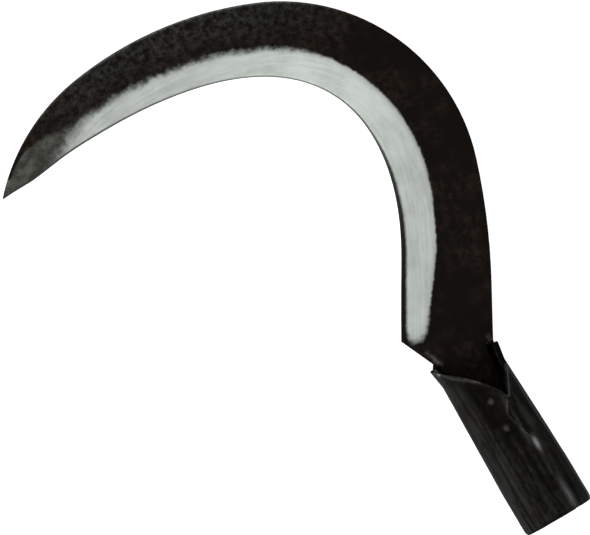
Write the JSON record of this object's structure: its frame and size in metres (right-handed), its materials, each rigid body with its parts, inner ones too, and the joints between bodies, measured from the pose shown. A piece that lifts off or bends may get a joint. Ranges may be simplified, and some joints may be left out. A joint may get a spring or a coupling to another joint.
{
  "type": "billhook head",
  "caption": "Hook-shaped billhook head: a forged crescent blade with a ground steel cutting edge and a rolled, lapped and riveted socket for a wooden handle.",
  "frame": {"origin": "centre of the socket's mouth, on the bore's axis", "axes": "+Y up the socket's axis towards the blade, +Z out of the blade's visible face, so the head lies flat on its back; the handle leaves along -Y"},
  "size_m": [0.2194, 0.3135, 0.0421],
  "materials": {
    "scale_iron": "black forge scale, slightly mottled",
    "ground_steel": "ground, pale grey, with scale left near its upper border",
    "socket_iron": "hammered, dark grey scale with worn ridges",
    "rivet_iron": "hammered heads, worn grey"
  },
  "bodies": {
    "root": {"blade": "scale_iron", "edge_steel": "ground_steel", "socket": "socket_iron", "rivet_upper": "rivet_iron", "rivet_lower": "rivet_iron"}
  },
  "joints": []
}
